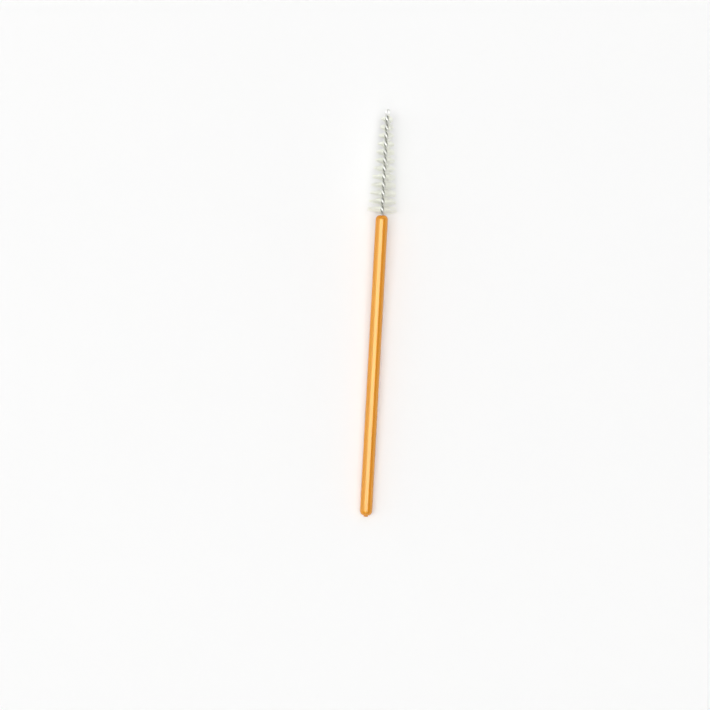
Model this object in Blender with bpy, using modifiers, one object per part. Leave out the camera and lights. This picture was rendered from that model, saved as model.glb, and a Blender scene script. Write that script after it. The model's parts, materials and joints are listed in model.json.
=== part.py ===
"""A disposable mascara wand: a moulded handle, one folded and twisted wire, and rows of bristles.

The wand is modelled upright on an empty, with its butt at the empty's origin and its tip up.
The empty then lays it down with the tip towards +Y, resting on the butt end of the handle and
on the widest bristles, as it lies on a table. All sizes are in metres.
"""

import math

import bmesh
import bpy
from mathutils import Vector

# Handle: a plain round rod with domed ends, a moulding nib on its butt and a blind socket in its nose
HANDLE_LENGTH = 0.0740
HANDLE_RADIUS = 0.0015
NOSE_ROUND_HEIGHT = 0.0011
NOSE_LAND_WIDTH = 0.00010
BUTT_ROUND_HEIGHT = 0.0011
NIB_RADIUS = 0.00055
NIB_HEIGHT = 0.00035
NIB_EDGE_ROUND = 0.00012
NIB_FILLET = 0.00008
SOCKET_DEPTH = 0.0100
SOCKET_CLEARANCE = 0.00006
SOCKET_FLOOR_GAP = 0.0001

# Wire: one length folded double and twisted left-handed, with an eye at the fold
WIRE_RADIUS = 0.00025
TWIST_PITCH = 0.0040
UNTWIST_LENGTH = 0.0006
EYE_RADIUS = 0.00042
EYE_SHANK_LENGTH = 0.0003

# Brush: each half turn of the wire holds one row of filaments, trimmed to a cone
BRUSH_GAP = 0.0004
BRUSH_LENGTH = 0.0240
BRUSH_RADIUS_AT_HANDLE = 0.0038
BRUSH_RADIUS_AT_TIP = 0.0014
ROW_GAP = 0.00006
BAND_WIDTH = 0.00050
BAND_THICKNESS = 0.00008
BAND_CLEARANCE = 0.00004
FILAMENT_WIDTH = 0.000065
FILAMENT_GAP = 0.0000425
FILAMENT_LEAN = math.radians(6)

# How finely round shapes are cut
HANDLE_SIDES = 24
ROUND_STEPS = 7
NIB_ROUND_STEPS = 2
POINTS_PER_TURN = 10
EYE_STEPS = 10

# Sizes that follow from the ones above
HALF_TURN = TWIST_PITCH / 2
ROW_COUNT = round(BRUSH_LENGTH / HALF_TURN)
LEG_RADIUS = BAND_THICKNESS / 2 + BAND_CLEARANCE + WIRE_RADIUS
SOCKET_RADIUS = LEG_RADIUS + WIRE_RADIUS + SOCKET_CLEARANCE
WIRE_START = HANDLE_LENGTH - SOCKET_DEPTH + SOCKET_FLOOR_GAP
BRUSH_START = HANDLE_LENGTH + BRUSH_GAP
BRUSH_END = BRUSH_START + ROW_COUNT * HALF_TURN
TWIST_RATE = -2 * math.pi / TWIST_PITCH


def clear_scene():
    """Removes every object of the open scene."""
    for thing in list(bpy.data.objects):
        bpy.data.objects.remove(thing, do_unlink=True)


def make_material(name, colour, roughness, metallic):
    """Makes a Principled material of one colour."""
    material = bpy.data.materials.new(name)
    material.use_nodes = True
    shader = material.node_tree.nodes["Principled BSDF"]
    shader.inputs["Base Color"].default_value = (*colour, 1.0)
    shader.inputs["Roughness"].default_value = roughness
    shader.inputs["Metallic"].default_value = metallic
    material.diffuse_color = (*colour, 1.0)
    return material


def add_piece(name, data, material, collection, frame):
    """Adds a named piece to the wand, carried by the empty."""
    piece = bpy.data.objects.new(name, data)
    data.materials.append(material)
    collection.objects.link(piece)
    piece.parent = frame
    return piece


def twist_angle(height):
    """Angle of the wire's twist at a height: it runs on steadily and dies out past the brush."""
    steady = min(height, BRUSH_END) - BRUSH_START
    fading = min(max(height - BRUSH_END, 0.0), UNTWIST_LENGTH)
    return TWIST_RATE * (steady + fading - fading**2 / (2 * UNTWIST_LENGTH))


def turned(radius, angle, height):
    """A point at a radius and angle round the wand's axis."""
    return Vector((radius * math.cos(angle), radius * math.sin(angle), height))


def round_over(inner_radius, outer_radius, flat_height, side_height, steps):
    """Profile points of an end rounded from its side to its flat, the flat's edge first."""
    points = []
    for step in range(steps + 1):
        angle = math.pi / 2 * step / steps
        radius = inner_radius + (outer_radius - inner_radius) * math.sin(angle)
        height = side_height + (flat_height - side_height) * math.cos(angle)
        points.append((radius, 0.0, height))
    return points


def make_handle(material, collection, frame):
    """The handle: a profile from the socket's floor, over the nose and down to the butt, turned."""
    socket_floor = HANDLE_LENGTH - SOCKET_DEPTH
    socket = [(0.0, 0.0, socket_floor), (SOCKET_RADIUS, 0.0, socket_floor),
              (SOCKET_RADIUS, 0.0, HANDLE_LENGTH)]
    nose = round_over(SOCKET_RADIUS + NOSE_LAND_WIDTH, HANDLE_RADIUS,
                      HANDLE_LENGTH, HANDLE_LENGTH - NOSE_ROUND_HEIGHT, ROUND_STEPS)
    butt = round_over(NIB_RADIUS + NIB_FILLET, HANDLE_RADIUS,
                      NIB_HEIGHT, NIB_HEIGHT + BUTT_ROUND_HEIGHT, ROUND_STEPS)
    nib = round_over(NIB_RADIUS - NIB_EDGE_ROUND, NIB_RADIUS, 0.0, NIB_EDGE_ROUND, NIB_ROUND_STEPS)
    fillet_foot = (NIB_RADIUS, 0.0, NIB_HEIGHT - NIB_FILLET)
    profile = socket + nose + butt[::-1] + [fillet_foot] + nib[::-1] + [(0.0, 0.0, 0.0)]
    mesh = bpy.data.meshes.new("handle")
    mesh.from_pydata(profile, [(n, n + 1) for n in range(len(profile) - 1)], [])
    handle = add_piece("handle", mesh, material, collection, frame)
    screw = handle.modifiers.new("turn", "SCREW")
    screw.steps = HANDLE_SIDES
    screw.render_steps = HANDLE_SIDES
    screw.use_merge_vertices = True
    screw.merge_threshold = 0.000001
    screw.use_smooth_shade = True
    # Half a facet of turn lays the handle on a flat facet, not on an edge
    handle.rotation_euler.z = math.pi / HANDLE_SIDES
    return handle


def wire_leg(side):
    """Centre line of one leg, from its end in the socket up to the shank of the eye."""
    start_angle = side * math.pi
    untwist_end = BRUSH_END + UNTWIST_LENGTH
    steps = math.ceil((untwist_end - WIRE_START) / TWIST_PITCH * POINTS_PER_TURN)
    points = []
    for step in range(steps + 1):
        height = WIRE_START + (untwist_end - WIRE_START) * step / steps
        opening = max(height - BRUSH_END, 0.0) / UNTWIST_LENGTH
        spread = opening**2 * (3 - 2 * opening)
        radius = LEG_RADIUS + (EYE_RADIUS - LEG_RADIUS) * spread
        points.append(turned(radius, start_angle + twist_angle(height), height))
    return points


def wire_eye():
    """Centre line of the fold: half a circle that joins the two legs over the tip."""
    centre_height = BRUSH_END + UNTWIST_LENGTH + EYE_SHANK_LENGTH
    fold_angle = twist_angle(BRUSH_END + UNTWIST_LENGTH)
    points = []
    for step in range(EYE_STEPS + 1):
        angle = math.pi * step / EYE_STEPS
        height = centre_height + EYE_RADIUS * math.sin(angle)
        points.append(turned(EYE_RADIUS * math.cos(angle), fold_angle, height))
    return points


def make_wire(material, collection, frame):
    """The twisted wire: up one leg, round the eye and down the other leg."""
    route = wire_leg(0) + wire_eye() + wire_leg(1)[::-1]
    curve = bpy.data.curves.new("twisted_wire", "CURVE")
    curve.dimensions = "3D"
    curve.bevel_depth = WIRE_RADIUS
    curve.bevel_resolution = 2
    curve.render_resolution_u = 0
    curve.use_fill_caps = True
    spline = curve.splines.new("POLY")
    spline.points.add(len(route) - 1)
    for point, place in zip(spline.points, route):
        point.co = (*place, 1.0)
    return add_piece("twisted_wire", curve, material, collection, frame)


def brush_radius(height):
    """Radius of the cone that the bristles are trimmed to."""
    share = (height - BRUSH_START) / (BRUSH_END - BRUSH_START)
    return BRUSH_RADIUS_AT_HANDLE + (BRUSH_RADIUS_AT_TIP - BRUSH_RADIUS_AT_HANDLE) * share


def filament_levels(row):
    """Heights of the lower and upper face of every filament of a row."""
    low = BRUSH_START + row * HALF_TURN + ROW_GAP / 2
    length = HALF_TURN - ROW_GAP
    count = int((length + FILAMENT_GAP) / (FILAMENT_WIDTH + FILAMENT_GAP))
    spacing = length / count
    middles = [low + (n + 0.5) * spacing for n in range(count)]
    return [(middle - FILAMENT_WIDTH / 2, middle + FILAMENT_WIDTH / 2) for middle in middles]


def make_band(row, levels):
    """The slice of filaments between the wire's legs: a bar cut at every filament and twisted."""
    low = BRUSH_START + row * HALF_TURN + ROW_GAP / 2
    high = BRUSH_START + (row + 1) * HALF_TURN - ROW_GAP / 2
    cuts = [height for level in levels for height in level]
    band = bmesh.new()
    bmesh.ops.create_cube(band, size=1.0)
    for corner in band.verts:
        corner.co.x *= BAND_THICKNESS
        corner.co.y *= BAND_WIDTH
        corner.co.z = low if corner.co.z < 0 else high
    for height in cuts:
        every_part = band.verts[:] + band.edges[:] + band.faces[:]
        bmesh.ops.bisect_plane(band, geom=every_part, dist=1e-7,
                               plane_co=(0, 0, height), plane_no=(0, 0, 1))
    return band


def make_bristle_row(row, material, collection, frame):
    """One row: filaments drawn out of both edges of the band, which turns with the wire."""
    levels = filament_levels(row)
    band = make_band(row, levels)
    roots = []
    for number, (lower, upper) in enumerate(levels):
        middle = (lower + upper) / 2
        for side in (-1, 1):
            root = next(face for face in band.faces
                        if face.normal.y * side > 0.9
                        and abs(face.calc_center_median().z - middle) < FILAMENT_WIDTH / 4)
            roots.append((root, side, middle, number))
    for corner in band.verts:
        angle = twist_angle(corner.co.z)
        x, y = corner.co.x, corner.co.y
        corner.co.x = x * math.cos(angle) - y * math.sin(angle)
        corner.co.y = x * math.sin(angle) + y * math.cos(angle)
    for root, side, middle, number in roots:
        lean = FILAMENT_LEAN * math.sin(2.4 * (number + 5 * row + 9 * side))
        direction = twist_angle(middle) + side * math.pi / 2 + lean
        reach = brush_radius(middle) - BAND_WIDTH / 2
        strand = bmesh.ops.extrude_discrete_faces(band, faces=[root])["faces"][0]
        bmesh.ops.translate(band, verts=strand.verts, vec=turned(reach, direction, 0.0))
    bmesh.ops.recalc_face_normals(band, faces=band.faces)
    name = f"bristle_row_{row + 1:02d}"
    mesh = bpy.data.meshes.new(name)
    band.to_mesh(mesh)
    band.free()
    return add_piece(name, mesh, material, collection, frame)


def lay_down(frame, pieces):
    """Lays the wand on its butt and its widest bristles, its box's bottom centre at the origin."""
    rise = BRUSH_RADIUS_AT_HANDLE - HANDLE_RADIUS
    tilt = math.atan2(rise, BRUSH_START - NIB_HEIGHT - BUTT_ROUND_HEIGHT)
    frame.rotation_euler.x = tilt - math.pi / 2
    bpy.context.view_layer.update()
    depsgraph = bpy.context.evaluated_depsgraph_get()
    corners = []
    for piece in pieces:
        shape = piece.evaluated_get(depsgraph)
        mesh = shape.to_mesh()
        corners += [shape.matrix_world @ vertex.co for vertex in mesh.vertices]
        shape.to_mesh_clear()
    low = Vector([min(corner[axis] for corner in corners) for axis in range(3)])
    high = Vector([max(corner[axis] for corner in corners) for axis in range(3)])
    frame.location = (-(low.x + high.x) / 2, -(low.y + high.y) / 2, -low.z)


def main():
    """Builds the wand."""
    clear_scene()
    wand = bpy.data.collections.new("mascara_wand")
    bpy.context.scene.collection.children.link(wand)
    frame = bpy.data.objects.new("wand_frame", None)
    wand.objects.link(frame)

    gold_plastic = make_material("gold_plastic", (0.80, 0.42, 0.11), 0.32, 0.30)
    steel = make_material("steel", (0.62, 0.62, 0.60), 0.22, 1.0)
    clear_nylon = make_material("clear_nylon", (0.86, 0.88, 0.82), 0.35, 0.0)

    pieces = [make_handle(gold_plastic, wand, frame), make_wire(steel, wand, frame)]
    for row in range(ROW_COUNT):
        pieces.append(make_bristle_row(row, clear_nylon, wand, frame))
    lay_down(frame, pieces)


main()
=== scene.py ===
# %% [markdown]
# # Dressing a small lash wand
#
# The wand is a slim gold rod with a cone of clear bristles, held in a folded and twisted
# wire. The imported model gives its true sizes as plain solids. This notebook builds the fine
# surfaces that belong on those solids: a smooth pearly handle, a bright round wire and
# thin nylon bristles with 1056 trimmed ends. Then it sets up a white table, soft light and a
# camera that looks straight down.
#
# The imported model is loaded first, and nothing in it is moved or resized.

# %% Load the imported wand
import json
import math
import random

import bpy
from mathutils import Matrix, Vector


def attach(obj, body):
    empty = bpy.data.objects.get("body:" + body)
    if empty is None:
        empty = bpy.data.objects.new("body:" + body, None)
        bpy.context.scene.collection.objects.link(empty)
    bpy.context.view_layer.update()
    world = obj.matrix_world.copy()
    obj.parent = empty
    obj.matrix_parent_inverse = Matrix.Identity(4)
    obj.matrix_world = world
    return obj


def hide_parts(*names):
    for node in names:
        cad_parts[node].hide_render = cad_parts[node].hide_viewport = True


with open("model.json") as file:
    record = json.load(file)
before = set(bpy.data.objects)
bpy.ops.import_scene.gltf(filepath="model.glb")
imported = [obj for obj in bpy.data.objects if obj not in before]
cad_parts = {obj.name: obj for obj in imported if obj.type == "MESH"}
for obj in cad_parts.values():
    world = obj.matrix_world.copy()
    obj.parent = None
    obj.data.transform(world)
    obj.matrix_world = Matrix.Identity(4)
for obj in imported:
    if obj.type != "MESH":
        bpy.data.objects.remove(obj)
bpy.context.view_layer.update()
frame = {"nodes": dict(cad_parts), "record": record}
MM = 0.001

# %% [markdown]
# ## The wand's own axis
#
# The wand lies on its side and leans a little, because its bristles are wider than its
# handle. Working along a leaning axis is awkward, so every piece is modelled upright, with
# the butt at the origin and the tip up, and one matrix then lays it down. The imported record
# says where the flat end of the butt is and which way it faces, and that is all the matrix
# needs.

# %% Find the axis
butt_mount = next(m for m in frame["record"]["mounts"] if m["name"] == "butt_end")
BUTT = Vector(butt_mount["pos_m"])
AXIS = -Vector(butt_mount["axis"]).normalized()
ACROSS = Vector((1, 0, 0))
TURN = Matrix((ACROSS, AXIS.cross(ACROSS), AXIS)).transposed().to_4x4()
LAY_DOWN = Matrix.Translation(BUTT) @ TURN
print("tilt of the axis, degrees:", round(math.degrees(math.asin(AXIS.z)), 2))


# %% Measure a solid along the axis
def reach(node):
    """Lowest and highest station along the wand's axis, and largest radius round it."""
    places = [LAY_DOWN.inverted() @ vertex.co for vertex in frame["nodes"][node].data.vertices]
    stations = [place.z for place in places]
    radius = max(math.hypot(place.x, place.y) for place in places)
    return min(stations), max(stations), radius


HANDLE_LENGTH, HANDLE_RADIUS = reach("handle")[1:]
WIRE_START, TIP = reach("twisted_wire")[:2]
ROWS = sorted(name for name in frame["nodes"] if name.startswith("bristle_row_"))
row_reach = [reach(name) for name in ROWS]
HALF_TURN = (row_reach[-1][0] - row_reach[0][0]) / (len(ROWS) - 1)
BRUSH_START = (row_reach[0][0] + row_reach[0][1] - HALF_TURN) / 2
BRUSH_END = BRUSH_START + len(ROWS) * HALF_TURN
print("handle, mm:", round(HANDLE_LENGTH / MM, 2), "radius:", round(HANDLE_RADIUS / MM, 3))
print("brush, mm:", round(BRUSH_START / MM, 2), "to", round(BRUSH_END / MM, 2),
      "in", len(ROWS), "rows")

# %% [markdown]
# ## Helpers for pieces and materials
#
# Every piece is placed in the same way: it gets the matrix that lays it down, it rides on
# the wand's one body, and it stands for the plain solid that it replaces, which is hidden.


# %% Place a piece
def place_piece(piece, stands_for):
    """Lays a piece down, ties it to the wand and hides the solid that it stands for."""
    bpy.context.scene.collection.objects.link(piece)
    piece.matrix_world = LAY_DOWN
    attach(piece, "root")
    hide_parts(stands_for)


# %% [markdown]
# Materials are node graphs. These two helpers keep a graph short to write: one starts a
# material and hands back its tree, and the other adds a node and sets its sockets by name.


# %% Start a material
def new_material(name):
    """A node material with a Principled shader, and its tree."""
    material = bpy.data.materials.new(name)
    material.use_nodes = True
    return material, material.node_tree, material.node_tree.nodes["Principled BSDF"]


def add_node(tree, kind, settings=None, **sockets):
    """Adds a node, sets its own settings and then its sockets, or links them from others."""
    node = tree.nodes.new(kind)
    for name, value in (settings or {}).items():
        setattr(node, name, value)
    for name, value in sockets.items():
        socket = node.inputs[name.replace("_", " ")]
        if isinstance(value, bpy.types.NodeSocket):
            tree.links.new(value, socket)
        else:
            socket.default_value = value
    return node


# %% [markdown]
# Flow lines in plastic and drawing marks on wire are long and narrow, and plain noise is as
# wide as it is long. So the noise is stretched, and its grain is given in metres, which are
# easy to check against the real thing. A ramp then turns it into colours, and a range turns
# it into numbers, such as a roughness.


# %% Read a texture along the wand
def stretched_noise(tree, across, along, detail=3.0):
    """Noise whose grain is across metres wide and along metres long on the upright wand."""
    coordinates = add_node(tree, "ShaderNodeTexCoord")
    mapping = add_node(tree, "ShaderNodeMapping", Vector=coordinates.outputs["Object"],
                       Scale=(1 / across, 1 / across, 1 / along))
    return add_node(tree, "ShaderNodeTexNoise", Vector=mapping.outputs["Vector"],
                    Scale=1.0, Detail=detail, Roughness=0.6)


def colour_ramp(tree, factor, stops):
    """A colour ramp with its stops given as (place, colour)."""
    ramp = add_node(tree, "ShaderNodeValToRGB", Fac=factor)
    while len(ramp.color_ramp.elements) < len(stops):
        ramp.color_ramp.elements.new(0.5)
    for element, (place, colour) in zip(ramp.color_ramp.elements, stops):
        element.position = place
        element.color = (*colour, 1.0)
    return ramp


def number_range(tree, value, low, high):
    """Maps a 0 to 1 texture onto a range of numbers."""
    return add_node(tree, "ShaderNodeMapRange", Value=value, To_Min=low, To_Max=high)


# %% [markdown]
# ## Pearl gold plastic
#
# The handle is moulded from plastic with fine gold mica flakes in it. The flakes lie along
# the flow, under a smooth skin, and give the rod orange flanks, a pale band where it faces
# the light, and faint streaks along its length.
#
# A metal shader would go dark wherever it has nothing bright to reflect, and plain orange
# plastic would lack the pearl. So the base keeps its own colour and adds a blurred
# reflection with a yellow tint, as the flakes do. A clear coat with a sharper reflection
# lies over it, as the skin does, and draws the pale band. Long narrow noise makes the
# streaks, and fine noise makes the flakes.
#
# Towards the edges of a rod, gloss mirrors the white table and washes the orange out. The
# coat therefore thins out where the surface turns away from the eye, and the edges keep
# their deep colour.

# %% Make the gold plastic
STREAK_WIDTH, STREAK_LENGTH, STREAK_DEPTH = 0.22 * MM, 9 * MM, 0.01 * MM
FLAKE_WIDTH, FLAKE_LENGTH = 0.028 * MM, 0.07 * MM
FLAKE_SHARE = 0.45
FLAKE_TINT = (1.0, 0.95, 0.05, 1.0)
FLAKE_IOR = 2.0
DULL_STREAK, SHINY_STREAK, STREAK_BUMP = 0.50, 0.30, 0.35
COAT_IOR, COAT_ROUGHNESS = 1.6, 0.11
COAT_THINS_FROM, COAT_THIN_AT, THIN_COAT = 0.15, 0.50, 0.25

gold, tree, shader = new_material("pearl_gold_plastic")
streaks = stretched_noise(tree, across=STREAK_WIDTH, along=STREAK_LENGTH)
flakes = stretched_noise(tree, across=FLAKE_WIDTH, along=FLAKE_LENGTH, detail=1.0)
gold_colour = colour_ramp(tree, streaks.outputs["Fac"], [
    (0.30, (0.728, 0.221, 0.0082)),
    (0.52, (0.762, 0.241, 0.0097)),
    (0.72, (0.796, 0.260, 0.0116)),
])
flake_colour = add_node(tree, "ShaderNodeMix", {"data_type": "RGBA", "blend_type": "SOFT_LIGHT"})
tree.links.new(gold_colour.outputs["Color"], flake_colour.inputs[6])
tree.links.new(flakes.outputs["Color"], flake_colour.inputs[7])
flake_colour.inputs[0].default_value = FLAKE_SHARE
gold_roughness = number_range(tree, streaks.outputs["Fac"], DULL_STREAK, SHINY_STREAK)
gold_bump = add_node(tree, "ShaderNodeBump", Strength=STREAK_BUMP, Distance=STREAK_DEPTH,
                     Height=streaks.outputs["Fac"])
tree.links.new(flake_colour.outputs[2], shader.inputs["Base Color"])
tree.links.new(gold_roughness.outputs["Result"], shader.inputs["Roughness"])
tree.links.new(gold_bump.outputs["Normal"], shader.inputs["Normal"])
shader.inputs["IOR"].default_value = FLAKE_IOR
shader.inputs["Specular Tint"].default_value = FLAKE_TINT
turned_away = add_node(tree, "ShaderNodeLayerWeight", Blend=0.5)
coat_share = add_node(tree, "ShaderNodeMapRange", Value=turned_away.outputs["Facing"],
                      From_Min=COAT_THINS_FROM, From_Max=COAT_THIN_AT, To_Min=1.0, To_Max=THIN_COAT)
tree.links.new(coat_share.outputs["Result"], shader.inputs["Coat Weight"])
shader.inputs["Coat IOR"].default_value = COAT_IOR
shader.inputs["Coat Roughness"].default_value = COAT_ROUGHNESS
print("made", gold.name)

# %% [markdown]
# ## Bright steel wire
#
# Fine drawn wire is bright but never a mirror. The die that it was drawn through leaves
# fine marks, so its roughness and its colour vary a little along the way. A pure metal
# would show the dim ceiling as black stripes, so a fifth of this surface is left matt, as
# the dull skin of a real wire is.

# %% Make the steel
MARK_WIDTH, MARK_LENGTH, MARK_DEPTH = 0.06 * MM, 0.3 * MM, 0.004 * MM
SMOOTH_MARK, ROUGH_MARK, MARK_BUMP = 0.26, 0.36, 0.15
METAL_SHARE = 0.8

steel, tree, shader = new_material("drawn_steel")
draw_marks = stretched_noise(tree, across=MARK_WIDTH, along=MARK_LENGTH)
steel_colour = colour_ramp(tree, draw_marks.outputs["Fac"], [
    (0.30, (0.84, 0.84, 0.815)),
    (0.65, (0.97, 0.97, 0.945)),
])
steel_roughness = number_range(tree, draw_marks.outputs["Fac"], SMOOTH_MARK, ROUGH_MARK)
steel_bump = add_node(tree, "ShaderNodeBump", Strength=MARK_BUMP, Distance=MARK_DEPTH,
                      Height=draw_marks.outputs["Fac"])
tree.links.new(steel_colour.outputs["Color"], shader.inputs["Base Color"])
tree.links.new(steel_roughness.outputs["Result"], shader.inputs["Roughness"])
tree.links.new(steel_bump.outputs["Normal"], shader.inputs["Normal"])
shader.inputs["Metallic"].default_value = METAL_SHARE
print("made", steel.name)

# %% [markdown]
# ## Clear nylon
#
# A single bristle is clear like fishing line, but a bunch of them looks milky white with a
# cool green cast, because light goes from one to the next. Following that light through
# hundreds of clear threads turns them grey in a render of normal length. So the bristles
# are nearly white themselves, only a little light goes straight through, and neighbours
# differ slightly in tint.
#
# Where the wire squeezes the bristles together, little light gets in. The distance from the
# axis, taken from the object's own coordinates, therefore blends in a painted shade: the
# colour turns dark grey towards the root, in the crease between the legs.

# %% Make the nylon
# Painted shade: the dark grey root colour is full up to the first distance and gone by the second.
PAINTED_ROOT_SHADE = (0.30, 0.30, 0.27, 1.0)
SHADE_FULL_TO, SHADE_ENDS_FROM = 0.30 * MM, 0.56 * MM
TINT_ACROSS, TINT_ALONG = 0.5 * MM, 0.12 * MM
NYLON_ROUGHNESS, NYLON_IOR, LIGHT_THROUGH = 0.3, 1.53, 0.05

nylon, tree, shader = new_material("clear_nylon")
tint = stretched_noise(tree, across=TINT_ACROSS, along=TINT_ALONG, detail=2.0)
nylon_colour = colour_ramp(tree, tint.outputs["Fac"], [
    (0.30, (0.965, 0.975, 0.865)),
    (0.70, (0.990, 0.995, 0.920)),
])
nylon_place = add_node(tree, "ShaderNodeTexCoord")
flat_place = add_node(tree, "ShaderNodeVectorMath", {"operation": "MULTIPLY"})
tree.links.new(nylon_place.outputs["Object"], flat_place.inputs[0])
flat_place.inputs[1].default_value = (1.0, 1.0, 0.0)
from_axis = add_node(tree, "ShaderNodeVectorMath", {"operation": "LENGTH"})
tree.links.new(flat_place.outputs["Vector"], from_axis.inputs[0])
unshaded_share = add_node(tree, "ShaderNodeMapRange", Value=from_axis.outputs["Value"],
                       From_Min=SHADE_FULL_TO, From_Max=SHADE_ENDS_FROM)
# Painted shade: this mix darkens the bristles' colour inside the wire's grip.
shaded_root_colour = add_node(tree, "ShaderNodeMix", {"data_type": "RGBA"})
tree.links.new(unshaded_share.outputs["Result"], shaded_root_colour.inputs[0])
shaded_root_colour.inputs[6].default_value = PAINTED_ROOT_SHADE
tree.links.new(nylon_colour.outputs["Color"], shaded_root_colour.inputs[7])
tree.links.new(shaded_root_colour.outputs[2], shader.inputs["Base Color"])
shader.inputs["Roughness"].default_value = NYLON_ROUGHNESS
shader.inputs["IOR"].default_value = NYLON_IOR
shader.inputs["Transmission Weight"].default_value = LIGHT_THROUGH
print("made", nylon.name)

# %% [markdown]
# ## The handle
#
# The handle is a moulded rod, so it is turned: half of its outline is drawn once and swept
# round the axis with a Screw modifier. The outline starts at the floor of the socket that
# holds the wire, goes over the nose, down the side and round the butt, where the mould's
# gate has left a small nib. Ninety-six sides keep the long highlight perfectly smooth.

# %% Sizes of the handle's ends
WIRE_RADIUS = 0.25 * MM
LEG_RADIUS = 0.33 * MM
SOCKET_PLAY = 0.02 * MM
SOCKET_RADIUS = LEG_RADIUS + WIRE_RADIUS + SOCKET_PLAY
MOUTH_CHAMFER = 0.05 * MM
NOSE_FLAT = 0.08 * MM
NOSE_ROUND = 1.1 * MM
BUTT_ROUND = 1.1 * MM
NIB_RADIUS = 0.55 * MM
NIB_HEIGHT = 0.35 * MM
NIB_EDGE = 0.12 * MM
NIB_FILLET = 0.08 * MM
HANDLE_SIDES = 96
SIDE_STATIONS = (0.75, 0.5, 0.25)
DOME_STEPS, FILLET_STEPS, NIB_STEPS = 16, 4, 6


# %% Draw a rounded corner
def quarter(from_radius, from_station, to_radius, to_station, starts_flat, steps):
    """Outline points of a quarter ellipse between two places, (radius, station)."""
    points = []
    for step in range(steps + 1):
        angle = math.pi / 2 * step / steps
        swing_radius = math.sin(angle) if starts_flat else 1 - math.cos(angle)
        swing_station = 1 - math.cos(angle) if starts_flat else math.sin(angle)
        points.append((from_radius + (to_radius - from_radius) * swing_radius,
                       from_station + (to_station - from_station) * swing_station))
    return points


# %% Turn the handle
def turned_piece(name, outline, sides, material):
    """Sweeps an outline of (radius, station) points once round the axis."""
    mesh = bpy.data.meshes.new(name)
    edges = [(n, n + 1) for n in range(len(outline) - 1)]
    mesh.from_pydata([(radius, 0.0, station) for radius, station in outline], edges, [])
    mesh.materials.append(material)
    piece = bpy.data.objects.new(name, mesh)
    turn = piece.modifiers.new("turn", "SCREW")
    turn.steps = turn.render_steps = sides
    turn.use_merge_vertices = True
    turn.merge_threshold = 0.001 * MM
    turn.use_smooth_shade = True
    return piece


outline = [(0.0, WIRE_START), (SOCKET_RADIUS, WIRE_START),
           (SOCKET_RADIUS, HANDLE_LENGTH - MOUTH_CHAMFER),
           (SOCKET_RADIUS + MOUTH_CHAMFER, HANDLE_LENGTH)]
outline += quarter(SOCKET_RADIUS + NOSE_FLAT, HANDLE_LENGTH,
                   HANDLE_RADIUS, HANDLE_LENGTH - NOSE_ROUND, True, DOME_STEPS)
outline += [(HANDLE_RADIUS, HANDLE_LENGTH * share) for share in SIDE_STATIONS]
outline += quarter(HANDLE_RADIUS, NIB_HEIGHT + BUTT_ROUND,
                   NIB_RADIUS + NIB_FILLET, NIB_HEIGHT, False, DOME_STEPS)
outline += quarter(NIB_RADIUS + NIB_FILLET / 2, NIB_HEIGHT - NIB_FILLET / 8,
                   NIB_RADIUS, NIB_HEIGHT - NIB_FILLET, True, FILLET_STEPS)
outline += quarter(NIB_RADIUS, NIB_EDGE, NIB_RADIUS - NIB_EDGE, 0.0, False, NIB_STEPS)
outline += [(0.0, 0.0)]
handle = turned_piece("gold_handle", outline, HANDLE_SIDES, gold)
place_piece(handle, "handle")
print("handle outline points:", len(outline))

# %% [markdown]
# ## The twist
#
# One wire is folded double, the bristles are laid between its legs, and the pair is twisted
# left-handed. One function gives the angle of the twist at any station. It grows steadily
# along the wire and dies out just past the last bristle, where the legs open into the eye.

# %% Follow the twist
PITCH = 2 * HALF_TURN
EYE_RADIUS = 0.42 * MM
UNTWIST_LENGTH = 0.6 * MM
EYE_CENTRE = TIP - EYE_RADIUS - WIRE_RADIUS
SOCKET_FLOOR_GAP = 0.05 * MM
LEG_STEPS, EYE_STEPS, WIRE_ROUNDNESS = 320, 24, 6


def twist_angle(station):
    """How far the legs have turned at a station, negative for a left-handed twist."""
    steady = min(station, BRUSH_END) - BRUSH_START
    fading = min(max(station - BRUSH_END, 0.0), UNTWIST_LENGTH)
    return -2 * math.pi / PITCH * (steady + fading - fading**2 / (2 * UNTWIST_LENGTH))


def turned_point(radius, angle, station):
    """A point at a radius and angle round the axis."""
    return Vector((radius * math.cos(angle), radius * math.sin(angle), station))


# %% Route the wire
def leg(start_angle, steps):
    """Centre line of one leg, from just above the socket's floor to where the eye begins."""
    start, end = WIRE_START + SOCKET_FLOOR_GAP, BRUSH_END + UNTWIST_LENGTH
    points = []
    for step in range(steps + 1):
        station = start + (end - start) * step / steps
        opening = max(station - BRUSH_END, 0.0) / UNTWIST_LENGTH
        spread = opening**2 * (3 - 2 * opening)
        radius = LEG_RADIUS + (EYE_RADIUS - LEG_RADIUS) * spread
        points.append(turned_point(radius, start_angle + twist_angle(station), station))
    return points


eye_angle = twist_angle(BRUSH_END + UNTWIST_LENGTH)
eye = []
for step in range(EYE_STEPS + 1):
    angle = math.pi * step / EYE_STEPS
    eye.append(turned_point(EYE_RADIUS * math.cos(angle), eye_angle,
                            EYE_CENTRE + EYE_RADIUS * math.sin(angle)))
route = leg(0.0, LEG_STEPS) + eye + leg(math.pi, LEG_STEPS)[::-1]
print("wire length, mm:", round(sum((b - a).length for a, b in zip(route, route[1:])) / MM, 1))


# %% Draw tubes along routes
def tubes(name, routes, radius, roundness, material):
    """One piece made of a thin tube along each route."""
    curve = bpy.data.curves.new(name, "CURVE")
    curve.dimensions = "3D"
    curve.bevel_depth = radius
    curve.bevel_resolution = roundness
    curve.use_fill_caps = True
    for points in routes:
        spline = curve.splines.new("POLY")
        spline.points.add(len(points) - 1)
        for knot, point in zip(spline.points, points):
            knot.co = (*point, 1.0)
            knot.radius = 1.0
        spline.use_smooth = True
    curve.materials.append(material)
    return bpy.data.objects.new(name, curve)


wire = tubes("steel_wire", [route], WIRE_RADIUS, WIRE_ROUNDNESS, steel)
place_piece(wire, "twisted_wire")

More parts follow.
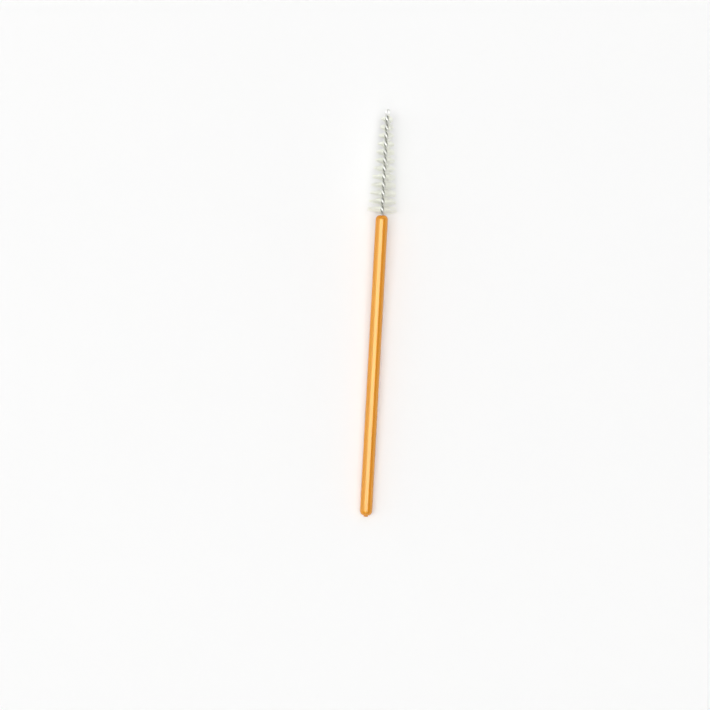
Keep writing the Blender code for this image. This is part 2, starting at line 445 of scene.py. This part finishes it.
# %% [markdown]
# ## The bristles
#
# Each bristle is one straight filament that passes between the legs of the wire and stands
# out on both sides. Where the wire grips it, it has to follow the twist exactly. Further
# out it is free, so it leans to one side, up or down, and bends slightly. This spread is
# what makes the rows of a real brush full and blunt, where an exact twist would leave them
# pointed. All of them were trimmed to one cone, and only the trimming varies by a hair. The
# random numbers start from a fixed seed, so the brush is the same every time.

# %% Sizes of the bristles
FILAMENT_RADIUS = 0.034 * MM
FILAMENT_ROUNDNESS = 1
FILAMENTS_PER_ROW = 44
LAYER_OFFSET = 0.025 * MM
GRIP_REACH = 0.30 * MM
ROOT_RADIUS, END_RADIUS = 3.80 * MM, 1.40 * MM
SIDE_LEAN = math.radians(10)
RISE_LEAN = math.radians(2.5)
END_BEND = 0.03
TRIM_ERROR = 0.012
SPACING_ERROR = 0.15
KNOTS_AT = (0.0, 0.15, 0.4, 0.7, 1.0)
dice = random.Random(38)


def cone_radius(station):
    """Radius of the trimmed cone at a station."""
    share = (station - BRUSH_START) / (BRUSH_END - BRUSH_START)
    return ROOT_RADIUS + (END_RADIUS - ROOT_RADIUS) * share


# %% Route one filament
def half_filament(station, layer, side):
    """From the wire's grip out to the trimmed end, on one side of the wire."""
    facing = twist_angle(station) + side * math.pi / 2
    lean = dice.gauss(0, SIDE_LEAN)
    rise = math.tan(dice.gauss(0, RISE_LEAN))
    bend = dice.gauss(0, END_BEND)
    trim = cone_radius(station) * (1 - abs(dice.gauss(0, TRIM_ERROR)))
    points = []
    for share in KNOTS_AT:
        distance = GRIP_REACH + (trim - GRIP_REACH) * share
        free = distance - GRIP_REACH
        angle = facing + lean * free / distance + bend * share**2
        point = turned_point(distance, angle, station + rise * free)
        point += turned_point(layer * side, facing - math.pi / 2, 0.0)
        points.append(point)
    return points


def filament(station, layer):
    """The whole filament, from one trimmed end through the grip to the other."""
    return half_filament(station, layer, 1)[::-1] + half_filament(station, layer, -1)


# %% Make a row for each half turn
strands = 0
for number, name in enumerate(ROWS):
    start = BRUSH_START + number * HALF_TURN
    spacing = HALF_TURN / FILAMENTS_PER_ROW
    routes = []
    for count in range(FILAMENTS_PER_ROW):
        station = start + (count + 0.5 + dice.uniform(-SPACING_ERROR, SPACING_ERROR)) * spacing
        layer = LAYER_OFFSET if count % 2 else -LAYER_OFFSET
        routes.append(filament(station, layer))
    row = tubes(f"nylon_row_{number + 1:02d}", routes, FILAMENT_RADIUS, FILAMENT_ROUNDNESS, nylon)
    place_piece(row, name)
    strands += 2 * len(routes)
print("bristle ends:", strands)

# %% [markdown]
# ## The table
#
# The wand lies on plain white paper. Near the wand the paper is an ordinary matt surface, so
# it takes the soft shadow. Further off it fades into an even white, as the far end of a
# photographer's paper sweep does, and no view finds an edge or a horizon.

# %% Make the table
PAPER_NEAR, PAPER_FAR = 0.35, 1.0
FAR_WHITE = (0.945, 0.945, 0.940)
PAPER_GRAIN, PAPER_ROUGHNESS, PAPER_SHINE = 400.0, 0.7, 0.1
TABLE_SIZE = 20.0

table_white, tree, shader = new_material("white_table")
paper = add_node(tree, "ShaderNodeTexNoise", Scale=PAPER_GRAIN, Detail=2.0)
paper_colour = colour_ramp(tree, paper.outputs["Fac"], [
    (0.0, (0.945, 0.945, 0.942)),
    (1.0, (0.955, 0.955, 0.952)),
])
tree.links.new(paper_colour.outputs["Color"], shader.inputs["Base Color"])
shader.inputs["Roughness"].default_value = PAPER_ROUGHNESS
shader.inputs["Specular IOR Level"].default_value = PAPER_SHINE
table_place = add_node(tree, "ShaderNodeTexCoord")
from_wand = add_node(tree, "ShaderNodeVectorMath", {"operation": "LENGTH"},
                     Vector=table_place.outputs["Object"])
far_share = add_node(tree, "ShaderNodeMapRange", {"interpolation_type": "SMOOTHSTEP"},
                     Value=from_wand.outputs["Value"], From_Min=PAPER_NEAR, From_Max=PAPER_FAR)
far_paper = add_node(tree, "ShaderNodeEmission", Color=(*FAR_WHITE, 1.0), Strength=1.0)
sweep = add_node(tree, "ShaderNodeMixShader", Fac=far_share.outputs["Result"])
tree.links.new(shader.outputs["BSDF"], sweep.inputs[1])
tree.links.new(far_paper.outputs["Emission"], sweep.inputs[2])
tree.links.new(sweep.outputs["Shader"], tree.nodes["Material Output"].inputs["Surface"])
bpy.ops.mesh.primitive_plane_add(size=TABLE_SIZE, location=(0, 0, 0))
table = bpy.context.object
table.name = "table"
table.data.materials.append(table_white)
print("paper stays matt to", PAPER_NEAR, "m and is even white from", PAPER_FAR, "m")

# %% [markdown]
# ## Light
#
# The studio is bright and soft. A wide panel overhead gives most of the light, and its
# reflection is the pale band along the handle. Its size across the wand sets how wide that
# band is, its size along the wand lets the band run from end to end, and it hangs a little
# to the left, where the band is. Smaller panels to the left, behind and in front light the
# flank, the nose and the butt. Together with the surroundings they light a flat surface so
# that its colour looks as it was written.
#
# In plain light, white paper has a brightness of 1. A small lamp of P watts that shines
# straight down on it from a distance d adds P / (pi d)^2 to that, so each panel is set by
# the share that it should add. It really adds somewhat less, because it is large and
# stands at a slant.


# %% Hang the panels
PANEL_DISTANCE = 3.0
# name: share of the light, azimuth and elevation in degrees, size across and along in metres
PANELS = {
    "top_panel": (0.70, 215, 86.2, 3.7, 1.3),
    "left_panel": (0.13, 180, 38, 2.2, 1.4),
    "back_panel": (0.12, 90, 57, 1.4, 2.0),
    "front_panel": (0.06, 270, 46, 0.9, 0.7),
}


def hang_panel(name, share, azimuth, elevation, across, along):
    """A soft panel that faces the wand and gives its share of plain light."""
    light = bpy.data.lights.new(name, "AREA")
    light.shape = "RECTANGLE"
    light.size, light.size_y = across, along
    light.energy = share * (math.pi * PANEL_DISTANCE) ** 2
    lamp = bpy.data.objects.new(name, light)
    bpy.context.scene.collection.objects.link(lamp)
    flat = math.cos(math.radians(elevation))
    away = Vector((flat * math.cos(math.radians(azimuth)),
                   flat * math.sin(math.radians(azimuth)),
                   math.sin(math.radians(elevation))))
    length_axis = away.cross(ACROSS).normalized()
    width_axis = length_axis.cross(away)
    lamp.matrix_world = (Matrix.Translation(away * PANEL_DISTANCE)
                         @ Matrix((width_axis, length_axis, away)).transposed().to_4x4())
    print(name, "gives", share, "from", elevation, "degrees high,",
          round(light.energy), "watts")


for name, settings in PANELS.items():
    hang_panel(name, *settings)

# %% [markdown]
# ## The room
#
# Round the table the room is white near the horizon and dim higher up. The white hides
# where the table ends, and it lights the bristles from the side. The dim ceiling is there
# for the handle: gloss shows whatever stands round it, and a white ceiling would wash the
# orange out of its flanks.

# %% Set the room
WHITE_UP_TO, DIM_FROM = 0.18, 0.30
DIM_CEILING = (0.22, 0.22, 0.22)

world = bpy.data.worlds.new("studio")
world.use_nodes = True
bpy.context.scene.world = world
tree = world.node_tree
coordinates = add_node(tree, "ShaderNodeTexCoord")
heights = add_node(tree, "ShaderNodeSeparateXYZ", Vector=coordinates.outputs["Generated"])
sky = colour_ramp(tree, heights.outputs["Z"], [
    (WHITE_UP_TO, FAR_WHITE),
    (DIM_FROM, DIM_CEILING),
])
tree.links.new(sky.outputs["Color"], tree.nodes["Background"].inputs["Color"])
tree.nodes["Background"].inputs["Strength"].default_value = 1.0
white_degrees = math.degrees(math.asin(WHITE_UP_TO))
print("room is white up to", round(white_degrees), "degrees above the horizon")

# %% [markdown]
# ## The camera
#
# The camera looks straight down, as the photograph's did. Two places that can be found in
# the photograph, the front end of the handle and its butt, fix everything else: their
# distance gives the scale, their direction gives the roll, and their middle gives the aim.
# The handle is used rather than the tip because the thin wire may be bent a little.

# %% Match the nose and the butt
PICTURE_SIZE = 710
SEEN_AT = {"nose": (381.9, 215.8), "butt": (365.8, 517.0)}
STATION = {"nose": HANDLE_LENGTH, "butt": 0.0}
pixels = [complex(SEEN_AT[name][0], -SEEN_AT[name][1]) for name in STATION]
matched = [LAY_DOWN @ Vector((0, 0, station)) for station in STATION.values()]
flat_places = [complex(place.x, place.y) for place in matched]
pixel_middle = sum(pixels) / len(pixels)
flat_middle = sum(flat_places) / len(flat_places)
matching = sum((place - flat_middle) * (pixel - pixel_middle).conjugate()
               for place, pixel in zip(flat_places, pixels))
turn_and_scale = matching / sum(abs(pixel - pixel_middle) ** 2 for pixel in pixels)
for name, place, pixel in zip(STATION, flat_places, pixels):
    miss = (place - flat_middle) / turn_and_scale - (pixel - pixel_middle)
    print(name, "misses its place by", round(abs(miss), 2), "pixels")
metres_per_pixel = abs(turn_and_scale)
roll = math.atan2(turn_and_scale.imag, turn_and_scale.real)
print("scale, mm per pixel:", round(metres_per_pixel / MM, 4),
      "roll, degrees:", round(math.degrees(roll), 2))

# %% Set the camera
LENS, SENSOR = 85.0, 36.0
CLIP_START, CLIP_END = 0.01, 20.0
camera = bpy.data.objects.new("camera", bpy.data.cameras.new("camera"))
bpy.context.scene.collection.objects.link(camera)
bpy.context.scene.camera = camera
camera.data.lens, camera.data.sensor_width = LENS, SENSOR
camera.data.clip_start, camera.data.clip_end = CLIP_START, CLIP_END
picture_middle = complex(PICTURE_SIZE / 2, -PICTURE_SIZE / 2)
aim = flat_middle + turn_and_scale * (picture_middle - pixel_middle)
middle_height = sum(place.z for place in matched) / len(matched)
distance = PICTURE_SIZE * metres_per_pixel * LENS / SENSOR
camera.location = (aim.real, aim.imag, middle_height + distance)
camera.rotation_euler = (0, 0, roll)
bpy.context.scene.view_settings.view_transform = "Standard"
print("camera distance, mm:", round(distance / MM))
